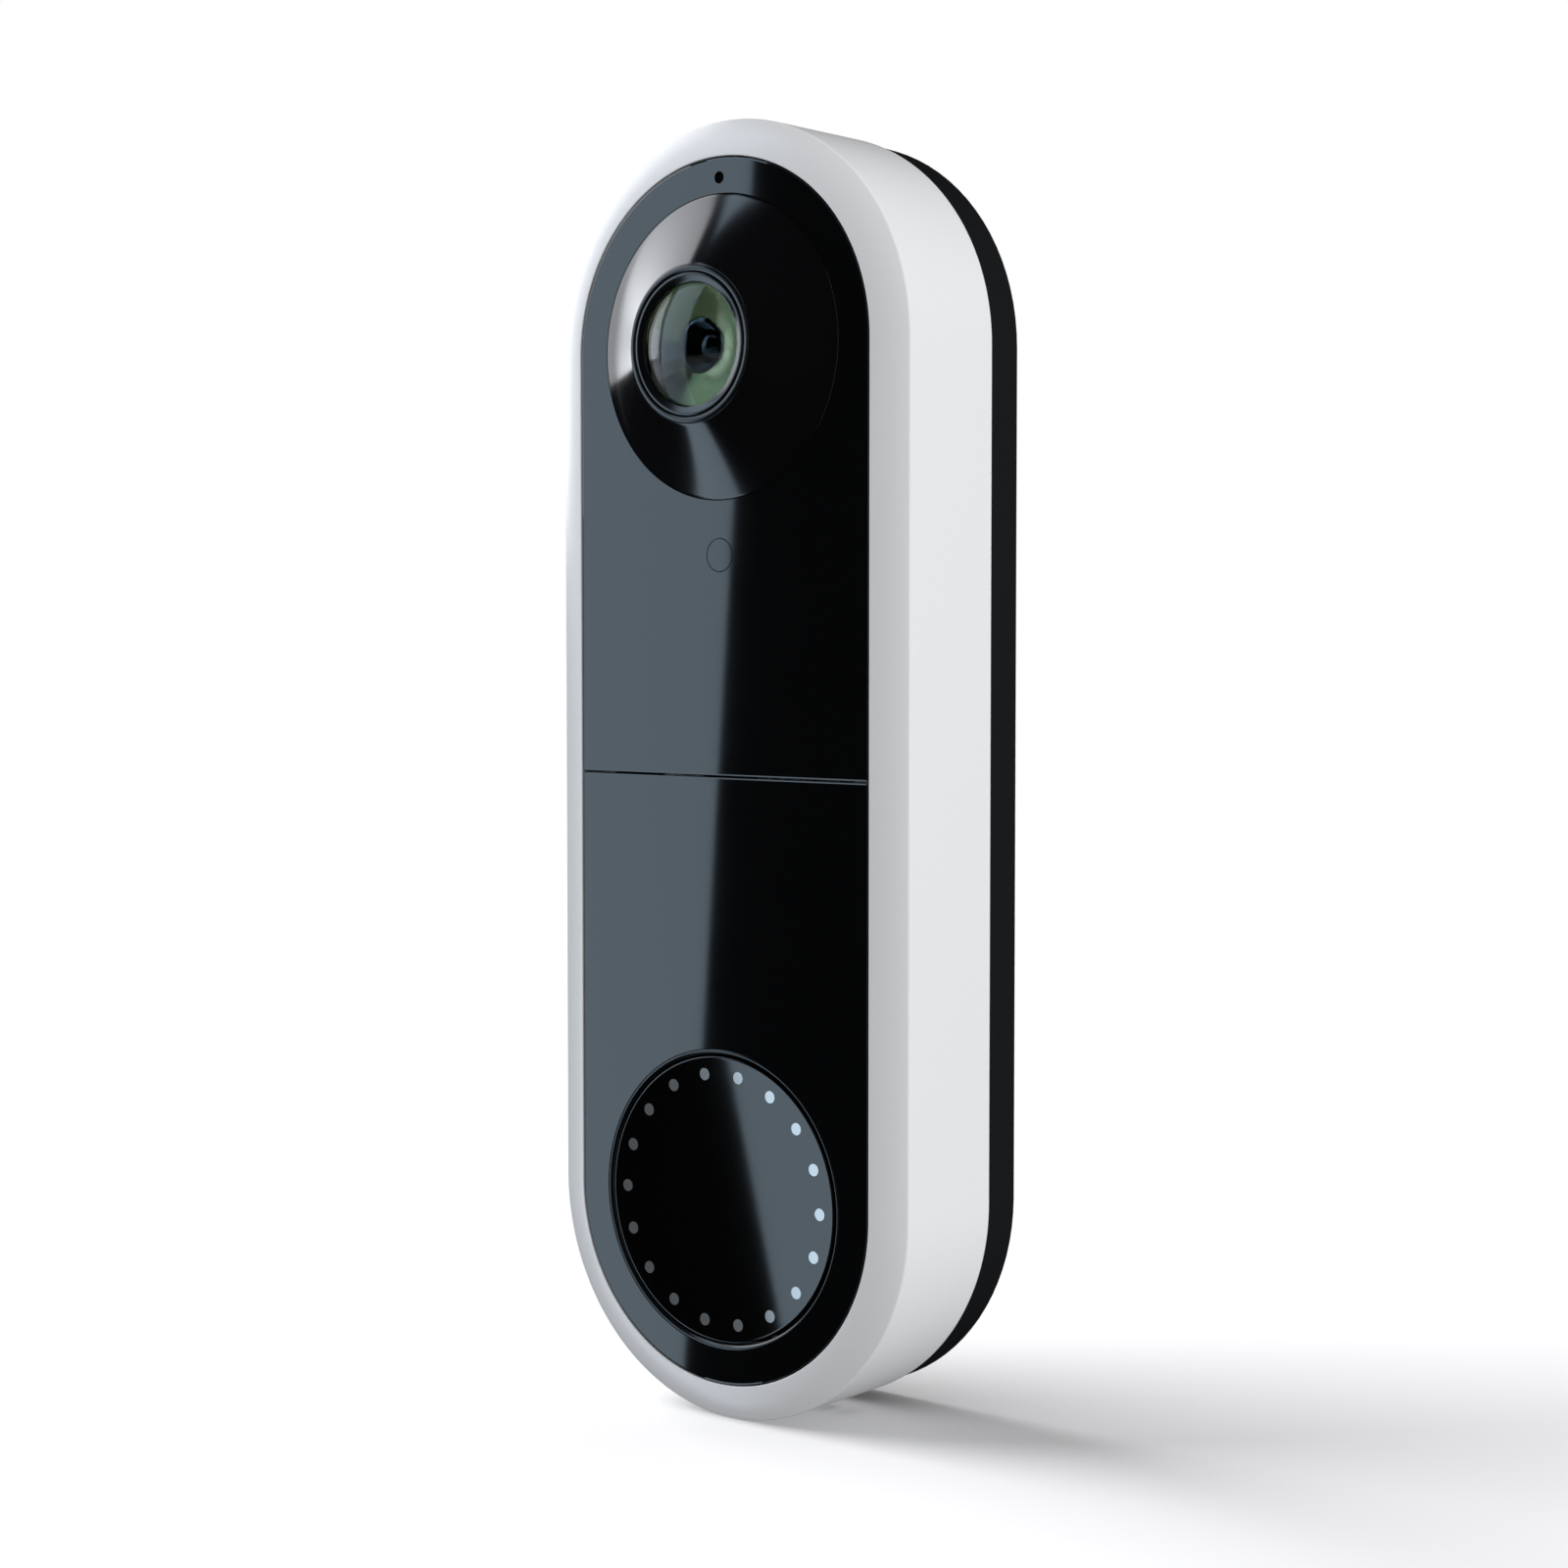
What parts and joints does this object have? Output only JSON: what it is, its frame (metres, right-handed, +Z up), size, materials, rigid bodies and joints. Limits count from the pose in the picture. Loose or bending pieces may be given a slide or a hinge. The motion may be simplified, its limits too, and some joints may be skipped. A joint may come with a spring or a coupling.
{
  "type": "video doorbell",
  "caption": "Slim round-ended wall doorbell with a cone-shaped camera bezel, glossy black face panels, a dished lit call button and a mounting plate.",
  "frame": {"origin": "centre of the mounting plate's back face, on the wall, midway between the two wall screws", "axes": "+X to the right as seen from the front, +Y into the wall, +Z up along the body"},
  "size_m": [0.045, 0.0255, 0.13],
  "materials": {
    "white_shell": "satin moulded ABS",
    "black_panel": "high-gloss polycarbonate",
    "black_plate": "fine texture",
    "camera_gloss": "high-gloss, infrared-clear",
    "camera_trim": "semi-gloss",
    "lens_glass": "coated",
    "barrel_black": "matte",
    "inner_black": "matte",
    "silicone": "matte",
    "black_rubber": "matte",
    "button_black": "gloss",
    "light_guide": "diffusing",
    "circuit_board": "solder mask",
    "steel": "plated",
    "brass": "turned",
    "copper": "enamelled winding",
    "magnet": "nickel plated",
    "chip": "moulded",
    "led_white": "emitter",
    "ivory_connector": "moulded",
    "flex_amber": "polyimide",
    "filter_blue": "coated",
    "speaker_paper": "coated",
    "can_silver": "drawn"
  },
  "bodies": {
    "doorbell": {"aperture_stop": "barrel_black", "back_cover": "black_plate", "back_gasket": "black_rubber", "board_connectors": "ivory_connector", "board_screws": "steel", "button_board": "circuit_board", "button_flex": "flex_amber", "button_leds": "led_white", "button_seal": "silicone", "button_trim_ring": "camera_trim", "camera_board": "circuit_board", "camera_flex": "flex_amber", "capacitors": "can_silver", "cover_screws": "steel", "filter_coil": "copper", "front_housing": "white_shell", "front_lens": "lens_glass", "holder_screws": "steel", "image_sensor": "chip", "infrared_board": "circuit_board", "infrared_leds": "led_white", "latch_spring": "steel", "lens_barrel": "barrel_black", "lens_cone": "camera_gloss", "lens_holder": "inner_black", "lens_retaining_ring": "camera_trim", "lens_seal": "black_rubber", "lens_spacers": "barrel_black", "lens_trim_ring": "camera_trim", "light_pipe": "camera_gloss", "light_sensor": "chip", "light_shield": "black_rubber", "lower_panel": "black_panel", "main_board": "circuit_board", "microphone": "can_silver", "microphone_boot": "black_rubber", "mounting_plate": "black_plate", "power_inductor": "chip", "processor_shield": "can_silver", "second_lens": "lens_glass", "speaker_frame": "inner_black", "speaker_gasket": "black_rubber", "speaker_magnet": "magnet", "speaker_mesh": "steel", "switch_body": "steel", "terminal_posts": "brass", "terminal_screws": "steel", "third_lens": "lens_glass", "upper_panel": "black_panel", "wifi_antenna": "brass"},
    "call_button": {"call_button_cap": "button_black", "light_guide_ring": "light_guide"},
    "switch_plunger": {"switch_plunger": "inner_black"},
    "filter_slide": {"filter_frame": "inner_black", "day_filter_glass": "filter_blue", "night_clear_glass": "lens_glass", "filter_magnet": "magnet"},
    "release_latch": {"release_latch": "inner_black"},
    "speaker_cone": {"speaker_cone": "speaker_paper"}
  },
  "joints": [
    {"name": "call_button_press", "type": "slide", "parent": "doorbell", "child": "call_button", "axis": [0, 1, 0], "range_m": [0, 0.0005], "stiffness_N_per_m": 3000},
    {"name": "switch_plunger_press", "type": "slide", "parent": "doorbell", "child": "switch_plunger", "axis": [0, 1, 0], "range_m": [0, 0.0005]},
    {"name": "filter_slide_travel", "type": "slide", "parent": "doorbell", "child": "filter_slide", "axis": [1, 0, 0], "range_m": [0, 0.0064]},
    {"name": "release_latch_lift", "type": "slide", "parent": "doorbell", "child": "release_latch", "axis": [0, 0, 1], "range_m": [0, 0.0015], "stiffness_N_per_m": 800, "deforming": ["latch_spring"]},
    {"name": "speaker_cone_travel", "type": "slide", "parent": "doorbell", "child": "speaker_cone", "axis": [0, 1, 0], "range_m": [-0.0002, 0.0002], "stiffness_N_per_m": 1500}
  ],
  "couplings": [
    {"joint": "switch_plunger_press", "follows": "call_button_press", "ratio": 1}
  ]
}
